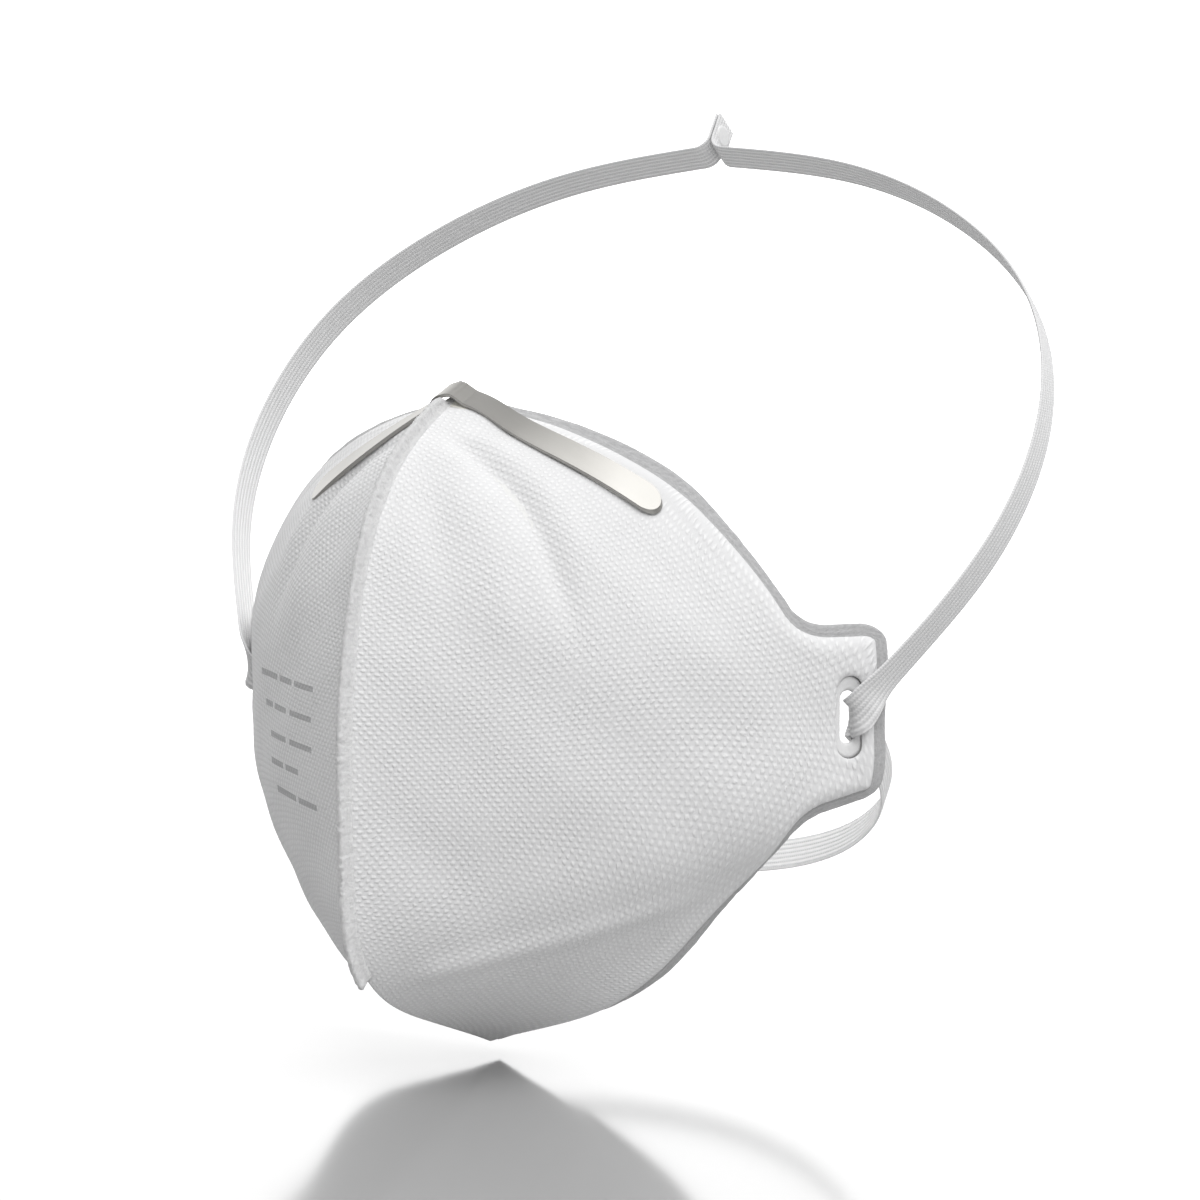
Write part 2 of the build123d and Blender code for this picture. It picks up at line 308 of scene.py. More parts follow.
def panel(depth, pitch=0.95):
    """Side-view points and triangles of one layer of the +X half, inside the rim weld."""
    along_rim = np.linspace(0, 1, EDGE_POINTS)
    rear = edge_row(RIM_WIDTH, depth, along_rim)
    ends = [math.atan2(rear[k, 1], FAN_Y - rear[k, 0]) for k in (0, -1)]
    angles = np.linspace(ends[1], ends[0], FRONT_POINTS)
    start = section(*front_row(0, angles).T)[1]
    shift = front_shift(start, depth)
    front = front_row(shift, angles)
    front[0], front[-1] = rear[-1], rear[0]
    loop = np.vstack([rear, front[1:-1]])
    hole = oval_ring(*SLOT_OVAL)
    fixed = np.vstack([loop, hole])
    rows = [oval_ring(SLOT_OVAL[0] + e, SLOT_OVAL[1]) for e in OVAL_STEPS]
    rows += [edge_row(RIM_WIDTH + e, depth, along_rim) for e in EDGE_STEPS]
    rows += [front_row(shift + e, angles) for e in FRONT_STEPS]
    kept = fixed
    for row in rows:
        kept = np.vstack([kept, thin(row, kept, 0.17)])
    gy, gz = np.meshgrid(np.arange(*GRID_Y, pitch), np.arange(*GRID_Z, pitch))
    gy = gy + (np.arange(gz.shape[0]) % 2)[:, None] * pitch / 2
    grid = np.column_stack([gy.ravel(), gz.ravel()])
    grid = grid[section(grid[:, 0], grid[:, 1])[0] > 0.5]
    grid = grid[inside_loop(grid, loop)]
    kept = np.vstack([kept, thin(grid, kept, 0.5 * pitch)])
    n, m = len(loop), len(hole)
    edges = [(i, (i + 1) % n) for i in range(n)] + [(n + i, n + (i + 1) % m) for i in range(m)]
    out = delaunay_2d_cdt([Vector(q) for q in kept], edges, [], 0, 1e-5)
    pts = np.array([tuple(q) for q in out[0]])
    tris = np.array([f for f in out[2] if len(f) == 3])
    mid = pts[tris].mean(axis=1)
    tris = tris[inside_loop(mid, loop) & ~inside_loop(mid, hole)]
    a, b, c = pts[tris[:, 0]], pts[tris[:, 1]], pts[tris[:, 2]]
    area = (b[:, 0] - a[:, 0]) * (c[:, 1] - a[:, 1]) - (b[:, 1] - a[:, 1]) * (c[:, 0] - a[:, 0])
    tris = np.where(area[:, None] > 0, tris, tris[:, ::-1])
    return pts, tris[np.abs(area) > 1e-7]


# ---------------------------------------------------------------- flat pattern of one panel
# angle of a section and the y to which the pattern reaches there
PATTERN_REACH = np.array(
    [(-52.0, -10.0), (-36.0, -4.0), (-20.0, 3.0), (0.0, 8.0), (20.0, 1.0), (32.0, -11.0), (44.0, -20.0)]
)


def flat_pattern():
    """Polynomials that lay a panel flat with as little stretch as possible."""
    rows, cols, passes, relax = 30, 18, 1500, 1.6
    angles = np.linspace(fan[0], fan[-1], rows)
    y_end = spline(np.radians(PATTERN_REACH[:, 0]), PATTERN_REACH[:, 1:])(angles)[:, 0]
    depth = stations(angles)[:, 0] - (FAN_Y - y_end) / np.cos(angles)
    w = np.linspace(0, 1, cols)
    s = depth[:, None] * w
    r = stations(angles)[:, :1] - s
    y, z = FAN_Y - r * np.cos(angles)[:, None], r * np.sin(angles)[:, None]
    p = np.column_stack([half_width(y.ravel(), z.ravel()), y.ravel(), z.ravel()]).reshape(rows, cols, 3)
    steps = np.linalg.norm(np.diff(p, axis=1), axis=2)
    arc = np.concatenate([np.zeros((rows, 1)), np.cumsum(steps, axis=1)], axis=1)
    q = np.stack([y[:, :1] + arc * np.cos(angles)[:, None], z[:, :1] - arc * np.sin(angles)[:, None]], axis=2)
    pairs = []
    for di, dj in ((0, 1), (1, 0), (1, 1), (1, -1)):
        i, j = np.meshgrid(np.arange(rows - di), np.arange(max(0, -dj), cols - max(0, dj)), indexing="ij")
        i, j = i.ravel(), j.ravel()
        pairs.append((i, j, i + di, j + dj, np.linalg.norm(p[i + di, j + dj] - p[i, j], axis=1)))
    for _ in range(passes):
        move, count = np.zeros_like(q), np.zeros((rows, cols, 1))
        for i, j, k, m, rest in pairs:
            d = q[k, m] - q[i, j]
            length = np.linalg.norm(d, axis=1)
            fix = d * ((length - rest) / length / 2)[:, None]
            np.add.at(move, (i, j), fix)
            np.add.at(move, (k, m), -fix)
            np.add.at(count, (i, j), 1)
            np.add.at(count, (k, m), 1)
        q += move / count * relax
    return np.linalg.lstsq(powers(y.ravel(), z.ravel()), q.reshape(-1, 2), rcond=None)[0]


def powers(y, z):
    """Terms of a seventh-degree polynomial in the side-view place."""
    a, b = y / 70, z / 80
    return np.column_stack([a**i * b**j for i in range(8) for j in range(8 - i)])


pattern = flat_pattern()


def flat(y, z):
    """Flat-pattern coordinates in millimetres."""
    return powers(y, z) @ pattern


# ---------------------------------------------------------------- folds pressed into the cover
def crease(y, z, path, width, amount):
    """A soft groove or ridge along a path in the side view; amount is outward."""
    path = np.array(path, float)
    best = np.full(len(y), 1e9)
    along = np.zeros(len(y))
    seg = np.linalg.norm(np.diff(path, axis=0), axis=1)
    total, done = seg.sum(), 0.0
    for a, b, length in zip(path, path[1:], seg):
        d = (b - a) / length
        t = np.clip((y - a[0]) * d[0] + (z - a[1]) * d[1], 0, length)
        dist = np.hypot(y - a[0] - t * d[0], z - a[1] - t * d[1])
        near = dist < best
        best = np.where(near, dist, best)
        along = np.where(near, (done + t) / total, along)
        done += length
    fade = smooth(along / 0.12) * smooth((1 - along) / 0.45)
    return amount * np.exp(-((best / width) ** 2)) * fade


# path, width and outward amount of each crease and swell
FOLDS = (
    (((-37.5, 59.5), (-39.6, 51.8), (-40.4, 42.8), (-41.5, 30.5), (-41.8, 12.0)), 1.6, -1.25),
    (((-40.5, 57.0), (-44.0, 49.5), (-46.5, 38.0), (-49.0, 22.0), (-50.0, 6.0)), 3.0, 0.7),
    (((-35.0, 57.5), (-35.6, 50.0), (-36.4, 40.0), (-37.0, 24.0)), 2.4, 0.7),
    (((-44.0, 56.0), (-49.0, 47.0), (-53.0, 34.0), (-56.0, 18.0)), 2.0, -0.6),
    (((-27.0, 55.0), (-26.0, 42.0), (-24.0, 26.0), (-21.0, 12.0)), 6.0, -0.4),
    (((-56.0, -50.5), (-46.5, -46.7), (-39.4, -44.0), (-26.0, -38.7), (-9.5, -34.0)), 2.6, 0.8),
    (((-60.0, -30.0), (-40.0, -22.0), (-20.0, -18.0), (-8.0, -16.0)), 8.0, -0.35),
)


def folds(y, z):
    """Height of the creases, and of a slight waviness all over."""
    height = sum(crease(y, z, *fold) for fold in FOLDS)
    return height + (0.12 * np.sin(y / 5.1 + 1.3) * np.sin(z / 6.3 + 0.4) + 0.08 * np.sin(y / 2.9 + z / 3.7))


def roll(distance, width):
    """0 at a weld line rising to 1 on a quarter round."""
    q = np.clip(distance / width, 0, 1)
    return np.sqrt(1 - (1 - q) ** 2)


# ---------------------------------------------------------------- mesh helpers
def make(name, verts, faces, material, uv=None):
    """A smooth mesh object from points in millimetres, with its flat pattern as UVs."""
    mesh = bpy.data.meshes.new(name)
    points = [tuple(v) for v in np.asarray(verts) * MM]
    mesh.from_pydata(points, [], [tuple(int(i) for i in f) for f in faces])
    mesh.update()
    if uv is not None:
        layer = mesh.uv_layers.new(name="flat")
        loops = np.zeros(len(mesh.loops), int)
        mesh.loops.foreach_get("vertex_index", loops)
        layer.data.foreach_set("uv", np.asarray(uv, float)[loops].ravel())
    mesh.polygons.foreach_set("use_smooth", [True] * len(mesh.polygons))
    obj = bpy.data.objects.new(name, mesh)
    bpy.context.scene.collection.objects.link(obj)
    mesh.materials.append(material)
    return obj


def both_halves(verts, tris, uv):
    """Adds the mirrored half, sharing the points on the ridge."""
    on_ridge = np.abs(verts[:, 0]) < 0.02
    verts = verts.copy()
    verts[on_ridge, 0] = 0
    twin = np.full(len(verts), -1)
    twin[on_ridge] = np.flatnonzero(on_ridge)
    free = np.flatnonzero(~on_ridge)
    twin[free] = len(verts) + np.arange(len(free))
    all_verts = np.vstack([verts, verts[free] * (-1, 1, 1)])
    all_uv = np.vstack([uv, uv[free] * (-1, 1) - (HALF_PITCH, 0)])
    return all_verts, np.vstack([tris, twin[tris][:, ::-1]]), all_uv


def layer(name, plateau, weld_depth, oval_depth, material, shaped=0.0):
    """One fabric sheet of the cup, rolled down into the rim, the seam and the slot welds."""
    pts, tris = panel(plateau)
    y, z = pts[:, 0], pts[:, 1]
    rim = edge_distance(pts) - RIM_WIDTH
    s, start = section(y, z)[:2]
    ridge = s - front_shift(start, plateau)
    oval = oval_distance(y, z, SLOT_OVAL[1]) - SLOT_OVAL[0]
    depth = plateau + (weld_depth - plateau) * (1 - roll(rim, RIM_ROLL))
    depth = np.maximum(depth, plateau + (oval_depth - plateau) * (1 - roll(oval, OVAL_ROLL)))
    seam = np.where(z > CHIN_Z, 1.0, 0.0)
    depth = depth + shaped * SEAM_DIP * seam * (1 - roll(ridge, SEAM_ROLL))
    away = smooth(rim / 4) * smooth(ridge / 5) * smooth(oval / 3)
    depth = depth - shaped * folds(y, z) * away
    depth = depth - shaped * RIM_SWELL * np.exp(-(((rim - 3.0) / 2.0) ** 2)) * smooth(ridge / 4)
    p = wall(y, z, depth)
    p[ridge < 1e-4, 0] = 0
    p[:, 0] = np.maximum(p[:, 0], 0)
    verts, faces, uv = both_halves(p, tris, flat(y, z))
    obj = make(name, verts, faces, material, uv)
    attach(obj, "mask")
    return obj


def sweep(name, rings, material, closed=False, uv=None, caps=False):
    """Skins rings of equal point counts; each ring is a closed loop."""
    rings = np.asarray(rings)
    n, m = rings.shape[:2]
    faces = []
    for i in range(n if closed else n - 1):
        k = (i + 1) % n
        for j in range(m):
            q = (j + 1) % m
            faces.append((i * m + j, i * m + q, k * m + q, k * m + j))
    if caps and not closed:
        faces.append(tuple(range(m))[::-1])
        faces.append(tuple((n - 1) * m + j for j in range(m)))
    return make(name, rings.reshape(-1, 3), faces, material, uv)


# ---------------------------------------------------------------- materials
def material(name, colour, rough, metallic=0.0, sheen=0.0):
    """A new material, its node tree and its shader."""
    m = bpy.data.materials.new(name)
    m.use_nodes = True
    b = m.node_tree.nodes["Principled BSDF"]
    b.inputs["Base Color"].default_value = (*colour, 1)
    b.inputs["Roughness"].default_value = rough
    b.inputs["Metallic"].default_value = metallic
    b.inputs["Sheen Weight"].default_value = sheen
    b.inputs["Sheen Roughness"].default_value = 0.6
    return m, m.node_tree, b


class Graph:
    """Short names for building a node tree."""

    def __init__(self, tree):
        self.tree = tree

    def node(self, kind, **sockets):
        n = self.tree.nodes.new(kind)
        for key, value in sockets.items():
            self.put(n.inputs[key], value)
        return n

    def put(self, socket, value):
        if isinstance(value, bpy.types.NodeSocket):
            self.tree.links.new(value, socket)
        else:
            socket.default_value = value

    def math(self, op, a, b=0.0, c=0.0, clamp=False):
        n = self.tree.nodes.new("ShaderNodeMath")
        n.operation, n.use_clamp = op, clamp
        for i, value in enumerate((a, b, c)):
            self.put(n.inputs[i], value)
        return n.outputs[0]

    def uv(self):
        n = self.tree.nodes.new("ShaderNodeUVMap")
        n.uv_map = "flat"
        xyz = self.node("ShaderNodeSeparateXYZ", Vector=n.outputs[0])
        return n.outputs[0], xyz.outputs[0], xyz.outputs[1]

    def noise(self, vector, scale, detail=3.0, rough=0.55):
        n = self.node("ShaderNodeTexNoise", Vector=vector, Scale=scale, Detail=detail, Roughness=rough)
        return n.outputs["Fac"]

    def mix(self, fac, a, b):
        n = self.tree.nodes.new("ShaderNodeMix")
        n.data_type = "RGBA"
        self.put(n.inputs[0], fac)
        self.put(n.inputs[6], a)
        self.put(n.inputs[7], b)
        return n.outputs[2]

    def bump(self, height, distance, strength=1.0):
        return self.node("ShaderNodeBump", Height=height, Distance=distance, Strength=strength).outputs[0]

    def dots(self, u, v, pitch, row, size, soft):
        """Staggered round dots, 1 inside and 0 between."""
        r = self.math("DIVIDE", v, row)
        line = self.math("FLOOR", r)
        odd = self.math("FLOORED_MODULO", line, 2.0)
        a = self.math("MULTIPLY_ADD", odd, 0.5, self.math("DIVIDE", u, pitch))
        x = self.math("MULTIPLY", self.math("SUBTRACT", self.math("FRACT", a), 0.5), pitch)
        y = self.math("MULTIPLY", self.math("SUBTRACT", self.math("FRACT", r), 0.5), row)
        d = self.math("SQRT", self.math("ADD", self.math("MULTIPLY", x, x), self.math("MULTIPLY", y, y)))
        n = self.node("ShaderNodeMapRange", Value=d)
        n.interpolation_type = "SMOOTHSTEP"
        limits = {"From Min": size - soft, "From Max": size + soft, "To Min": 1.0, "To Max": 0.0}
        for key, value in limits.items():
            n.inputs[key].default_value = value
        return n.outputs[0]

    def box(self, u, v, u0, u1, v0, v1):
        """1 inside a rectangle."""
        parts = [self.math("GREATER_THAN", u, u0), self.math("LESS_THAN", u, u1)]
        parts += [self.math("GREATER_THAN", v, v0), self.math("LESS_THAN", v, v1)]
        out = parts[0]
        for p in parts[1:]:
            out = self.math("MULTIPLY", out, p)
        return out


WHITE = (0.86, 0.86, 0.865)
# plain bars where the cover is printed: front end, rear end and height of each in the side view
PRINT_ROWS = (
    (-57.5, -51.5, 6.0), (-50.5, -45.5, 6.0), (-44.5, -36.0, 6.0),
    (-57.0, -50.0, -0.2), (-48.5, -43.0, -0.2), (-42.0, -38.0, -0.2),
    (-57.0, -49.5, -6.3), (-48.0, -40.5, -6.3),
    (-52.0, -47.0, -12.0), (-46.0, -40.0, -12.0),
    (-57.5, -51.0, -17.8), (-50.0, -41.0, -17.8),
)
BAR_HALF = 0.6
cover_mat, tree, shader = material("cover_fabric", WHITE, 0.95, sheen=0.15)
g = Graph(tree)
vec, u, v = g.uv()
wobble = g.noise(vec, 0.9, 2.0)
uu = g.math("MULTIPLY_ADD", g.math("SUBTRACT", wobble, 0.5), 1.1, u)
dot = g.dots(uu, v, pitch=1.7, row=0.92, size=0.34, soft=0.24)
fibre = g.noise(vec, 2.6, 5.0, 0.7)
cloud = g.noise(vec, 0.12, 3.0)
colour = g.mix(dot, (0.76, 0.76, 0.765, 1), (0.87, 0.87, 0.872, 1))
colour = g.mix(g.math("MULTIPLY", g.math("SUBTRACT", 1.0, fibre), 0.22), colour, (0.6, 0.6, 0.61, 1))
shader.inputs["Specular IOR Level"].default_value = 0.25
patchy = g.math("MULTIPLY_ADD", cloud, 1.3, 0.1)
level = g.math("MULTIPLY_ADD", fibre, 0.55, g.math("MULTIPLY", dot, patchy))
bumped = g.bump(level, 0.00023, 0.8)
ink = None
for y0, y1, z0 in PRINT_ROWS:
    near, far = flat(np.array([y0, y1]), np.array([z0, z0])) * (-1, 1) - (HALF_PITCH, 0)
    slant = (far[1] - near[1]) / (far[0] - near[0])
    level_v = g.math("SUBTRACT", v, g.math("MULTIPLY_ADD", u, float(slant), float(near[1] - slant * near[0])))
    bar = g.box(u, level_v, float(min(near[0], far[0])), float(max(near[0], far[0])), -BAR_HALF, BAR_HALF)
    ink = bar if ink is None else g.math("MAXIMUM", ink, bar)
worn_print_and_slot_shade = g.math("MULTIPLY", ink, g.math("MULTIPLY_ADD", fibre, 0.5, 0.3))
g.put(shader.inputs["Base Color"], g.mix(worn_print_and_slot_shade, colour, (0.2, 0.2, 0.21, 1)))
g.put(shader.inputs["Normal"], bumped)

lining_mat, tree, shader = material("lining_fabric", (0.84, 0.84, 0.84), 0.95, sheen=0.2)
g = Graph(tree)
vec, u, v = g.uv()
fibre = g.noise(vec, 1.6, 6.0, 0.75)
mesh_dot = g.dots(u, v, pitch=0.9, row=0.45, size=0.2, soft=0.12)
g.put(shader.inputs["Base Color"], g.mix(fibre, (0.74, 0.74, 0.74, 1), (0.9, 0.9, 0.9, 1)))
level = g.math("SUBTRACT", fibre, g.math("MULTIPLY", mesh_dot, 0.5))
g.put(shader.inputs["Normal"], g.bump(level, 0.00012, 0.8))

filter_mat, tree, shader = material("filter_fleece", (0.85, 0.85, 0.84), 1.0, sheen=0.3)
g = Graph(tree)
vec, u, v = g.uv()
fibre = g.noise(vec, 0.8, 8.0, 0.8)
g.put(shader.inputs["Base Color"], g.mix(fibre, (0.7, 0.7, 0.69, 1), (0.92, 0.92, 0.91, 1)))
g.put(shader.inputs["Normal"], g.bump(fibre, 0.0003, 0.8))


def object_vector(g):
    """The point in the piece's own metres, for pieces without a flat pattern."""
    return g.node("ShaderNodeTexCoord").outputs["Object"]


weld_mat, tree, shader = material("rim_weld", (0.6, 0.6, 0.6), 0.9, sheen=0.35)
g = Graph(tree)
vec, u, v = g.uv()
fuzz = g.noise(vec, 1.3, 6.0, 0.8)
fuzz = g.math("MULTIPLY_ADD", g.math("SUBTRACT", fuzz, 0.5), 2.0, 0.5, clamp=True)
cloud = g.noise(vec, 0.35, 2.0)
colour = g.mix(fuzz, (0.3, 0.3, 0.305, 1), (0.68, 0.68, 0.685, 1))
g.put(shader.inputs["Base Color"], g.mix(g.math("MULTIPLY", cloud, 0.4), colour, (0.52, 0.52, 0.525, 1)))
g.put(shader.inputs["Normal"], g.bump(fuzz, 0.00022, 0.9))

fin_mat, tree, shader = material("seam_weld", (0.88, 0.88, 0.88), 0.95, sheen=0.4)
g = Graph(tree)
vec, u, v = g.uv()
fuzz = g.noise(vec, 1.2, 5.0, 0.8)
fuzz = g.math("MULTIPLY_ADD", g.math("SUBTRACT", fuzz, 0.5), 2.6, 0.55, clamp=True)
g.put(shader.inputs["Base Color"], g.mix(fuzz, (0.74, 0.74, 0.745, 1), (1.0, 1.0, 1.0, 1)))
g.put(shader.inputs["Normal"], g.bump(fuzz, 0.0003, 0.9))

press_mat, tree, shader = material("pressed_weld", (0.74, 0.74, 0.74), 0.85)
g = Graph(tree)
vec = object_vector(g)
fuzz = g.noise(vec, 1800.0, 4.0, 0.6)
g.put(shader.inputs["Base Color"], g.mix(fuzz, (0.66, 0.66, 0.665, 1), (0.84, 0.84, 0.84, 1)))
g.put(shader.inputs["Normal"], g.bump(fuzz, 0.00008, 0.6))

clip_mat, tree, shader = material("clip_metal", (0.5, 0.485, 0.46), 0.34, metallic=1.0)
g = Graph(tree)
vec, u, v = g.uv()
grain = g.node("ShaderNodeMapping", Vector=vec, Scale=(0.05, 6.0, 1.0))
brush = g.noise(grain.outputs[0], 3.0, 4.0, 0.6)
rough = g.node("ShaderNodeMapRange", Value=brush)
rough.inputs["To Min"].default_value, rough.inputs["To Max"].default_value = 0.38, 0.48
g.put(shader.inputs["Roughness"], rough.outputs[0])
# painted reflection: broad lighter patches along the clip's length, standing in for reflections on the metal
painted_reflection = g.noise(vec, 0.075, 1.0)
metal = g.mix(brush, (0.27, 0.264, 0.25, 1), (0.36, 0.352, 0.336, 1))
g.put(shader.inputs["Base Color"], g.mix(g.math("MULTIPLY", painted_reflection, 0.6), metal, (0.5, 0.49, 0.47, 1)))
g.put(shader.inputs["Normal"], g.bump(brush, 0.00001, 0.5))

glue_mat, tree, shader = material("glue", (0.9, 0.88, 0.8), 0.25)
g = Graph(tree)
cloud = g.noise(object_vector(g), 300.0)
g.put(shader.inputs["Base Color"], g.mix(cloud, (0.85, 0.83, 0.74, 1), (0.95, 0.94, 0.9, 1)))

foam_mat, tree, shader = material("foam", (0.8, 0.8, 0.8), 1.0)
g = Graph(tree)
vec = object_vector(g)
cells = g.node("ShaderNodeTexVoronoi", Vector=vec, Scale=1500.0)
cell = cells.outputs["Distance"]
g.put(shader.inputs["Base Color"], g.mix(cell, (0.62, 0.62, 0.63, 1), (0.86, 0.86, 0.87, 1)))
g.put(shader.inputs["Normal"], g.bump(cell, 0.0002, 0.9))

RIB_PITCH, WEAVE_PITCH = 1.143, 0.62
band_mat, tree, shader = material("elastic", (0.86, 0.86, 0.86), 0.7, sheen=0.2)
g = Graph(tree)
vec, u, v = g.uv()
across = g.math("SINE", g.math("MULTIPLY", u, 2 * math.pi / RIB_PITCH))
weave = g.math("SINE", g.math("MULTIPLY_ADD", v, 2 * math.pi / WEAVE_PITCH, g.math("MULTIPLY", across, 1.2)))
fibre = g.noise(vec, 3.0, 4.0, 0.6)
tone = g.math("MULTIPLY_ADD", across, 0.4, g.math("MULTIPLY_ADD", weave, 0.16, 0.55), clamp=True)
# painted shade: the band's colour darkens towards its start, over the first 6 mm where it runs through the
# slot
worn_print_and_slot_shade = g.math("SUBTRACT", 1.0, g.math("MULTIPLY", v, 0.16, clamp=True), clamp=True)
woven = g.mix(tone, (0.62, 0.62, 0.625, 1), (0.94, 0.94, 0.94, 1))
g.put(shader.inputs["Base Color"], g.mix(g.math("MULTIPLY", worn_print_and_slot_shade, 0.75), woven, (0.4, 0.4, 0.405, 1)))
height = g.math("MULTIPLY_ADD", weave, 0.35, g.math("MULTIPLY_ADD", fibre, 0.25, across))
g.put(shader.inputs["Normal"], g.bump(height, 0.00009, 0.8))

# ---------------------------------------------------------------- fabric layers
# depths under the cup's outer face: over the panel, at the rim weld and at the pressed oval
cover = layer("cover_fabric", 0.0, 1.02, 0.5, cover_mat, shaped=1.0)
coarse = layer("coarse_filter", 0.85, 1.3, 1.1, filter_mat, shaped=0.25)
fine = layer("fine_filter", 1.5, 1.65, 1.5, filter_mat, shaped=0.1)
lining = layer("lining_fabric", 2.25, 1.95, 1.75, lining_mat, shaped=0.0)
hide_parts("outer_cover")
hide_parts("coarse_filter_layer")
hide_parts("fine_filter_layer")
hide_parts("inner_lining")

# ---------------------------------------------------------------- rim weld
# distance inside the rear edge and depth of each point round the flange
RIM_PROFILE = (
    (2.95, 1.12), (2.6, 1.04), (2.4, 1.0), (2.15, 1.12), (1.9, 1.0), (1.5, 0.96), (1.15, 1.1), (0.8, 0.96),
    (0.4, 1.0), (0.12, 1.1), (0.0, 1.4), (0.0, 1.65), (0.12, 1.9), (0.4, 2.0), (1.5, 2.02), (2.3, 2.0),
    (2.95, 1.9),
)
RIM_FUZZ = 0.16
round_rim = np.linspace(0, 1, 420)
fuzz_edge = rng.normal(0, 1, (len(round_rim), len(RIM_PROFILE)))
for _ in range(2):
    fuzz_edge[1:-1] = (fuzz_edge[:-2] + fuzz_edge[1:-1] + fuzz_edge[2:]) / 3
columns, uvs = [], []
for k, (inset, depth) in enumerate(RIM_PROFILE):
    row = edge_row(inset, depth, round_rim)
    loose = RIM_FUZZ * fuzz_edge[:, k] * (1.0 if inset < 1.0 else 0.35)
    p = wall(row[:, 0], row[:, 1], depth + loose * 0.6)
    p[:, 0] = np.maximum(p[:, 0], 0)
    p[0, 0] = p[-1, 0] = 0
    columns.append(p)
    run = np.r_[0, np.cumsum(np.linalg.norm(np.diff(row, axis=0), axis=1))]
    uvs.append(np.column_stack([run, np.full(len(round_rim), k * 0.35)]))
ring = np.stack(columns, axis=1)
ring_uv = np.stack(uvs, axis=1)
other = ring[::-1][1:-1] * (-1, 1, 1)
rim = sweep(
    "rim_weld_flange", np.vstack([ring, other]), weld_mat, closed=True,
    uv=np.vstack([ring_uv, ring_uv[::-1][1:-1] + (300, 0)]).reshape(-1, 2),
)
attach(rim, "mask")
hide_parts("rim_weld")

# ---------------------------------------------------------------- front seam fin
# height above the ridge and half-thickness of each point up one side of the fin
FIN_SIDE = (
    (-1.1, 1.0), (-0.2, 0.85), (0.25, 0.62), (0.6, 0.5), (1.3, 0.52), (1.9, 0.56), (2.35, 0.5), (2.55, 0.28),
)
FIN_PROFILE = (*FIN_SIDE, (2.6, 0.0), *[(h, -w) for h, w in FIN_SIDE[::-1]])
FIN_TOP = 2.6
FIN_ABOVE_CLIP, FIN_BELOW_CLIP, FIN_UNDER_CLIP = 3.2, 2.7, 0.5
CLIP_CLEARANCE, CLIP_RAMP = 3.0, 3.2

sweep_angles = np.linspace(fan[0], fan[-1], 400)
heights = stations(sweep_angles)[:, 0] * np.sin(sweep_angles)
apex = edge_row(0.0, 0.0, [0.0])[0]
top_angle = math.atan2(apex[1], FAN_Y - apex[0])
chin_angle = float(np.interp(CHIN_Z, heights, sweep_angles))
spine = front_row(0.0, np.linspace(top_angle, chin_angle, 420))
run = np.r_[0, np.cumsum(np.linalg.norm(np.diff(spine, axis=0), axis=1))]
even = np.linspace(0, run[-1], 420)
spine = np.column_stack([np.interp(even, run, spine[:, k]) for k in (0, 1)])
t = np.gradient(spine, axis=0)
t /= np.linalg.norm(t, axis=1)[:, None]
proud = np.column_stack([t[:, 1], -t[:, 0]])
up_ridge = spine[:, 0] * math.cos(NOSE_SLOPE) + spine[:, 1] * math.sin(NOSE_SLOPE)
clip_at = even[np.argmin(np.abs(up_ridge - CLIP_LINE[3][1]))]
full = np.where(even < clip_at, FIN_ABOVE_CLIP, FIN_BELOW_CLIP)
ramp = np.clip((np.abs(even - clip_at) - CLIP_CLEARANCE) / CLIP_RAMP, 0, 1)
tall = FIN_UNDER_CLIP + (full - FIN_UNDER_CLIP) * np.sqrt(ramp * (2 - ramp))
fluff = rng.normal(0, 1, (len(even), 2))
fluff[1:-1] = (fluff[:-2] + fluff[1:-1] * 2 + fluff[2:]) / 4
loose = rng.normal(0, 0.07, (len(even), len(FIN_PROFILE), 2))
rings, uvs = [], []
for i in range(len(even)):
    lean = 0.12 * math.sin(even[i] / 7.0) + 0.1 * fluff[i, 0]
    scale = tall[i] / FIN_TOP * (1 + 0.035 * fluff[i, 1])
    points = []
    for k, (h, w) in enumerate(FIN_PROFILE):
        raised = h * scale + loose[i, k, 0] * (h > 0.5) if h > 0 else h
        w += loose[i, k, 1] * 0.8
        y, z = spine[i] + proud[i] * raised
        points.append((w + lean * max(h, 0) / FIN_TOP, y, z))
    rings.append(points)
    uvs.append([(even[i], k * 0.5) for k in range(len(FIN_PROFILE))])
fin = sweep("front_seam_fin", rings, fin_mat, uv=np.array(uvs).reshape(-1, 2), caps=True)
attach(fin, "mask")
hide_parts("front_seam_weld")

# ---------------------------------------------------------------- pressed ovals round the slots
along = np.array([math.sin(EAR_ANGLE), math.cos(EAR_ANGLE), 0.0])
away = np.array([math.cos(EAR_ANGLE), -math.sin(EAR_ANGLE), 0.0])
ear_origin = np.array([SLOT_X, 0.0, 0.0])


def on_ear(a, b, out):
    """Point at distances along, up and outward from the slot, on the +X ear tab."""
    return ear_origin + along * a + np.array([0, 0, 1.0]) * b + away * out


def mirrored(points, side):
    """The points as they are for side 1, or on the -X half for side -1."""
    points = np.array(points, float)
    points[..., 0] *= side
    return points


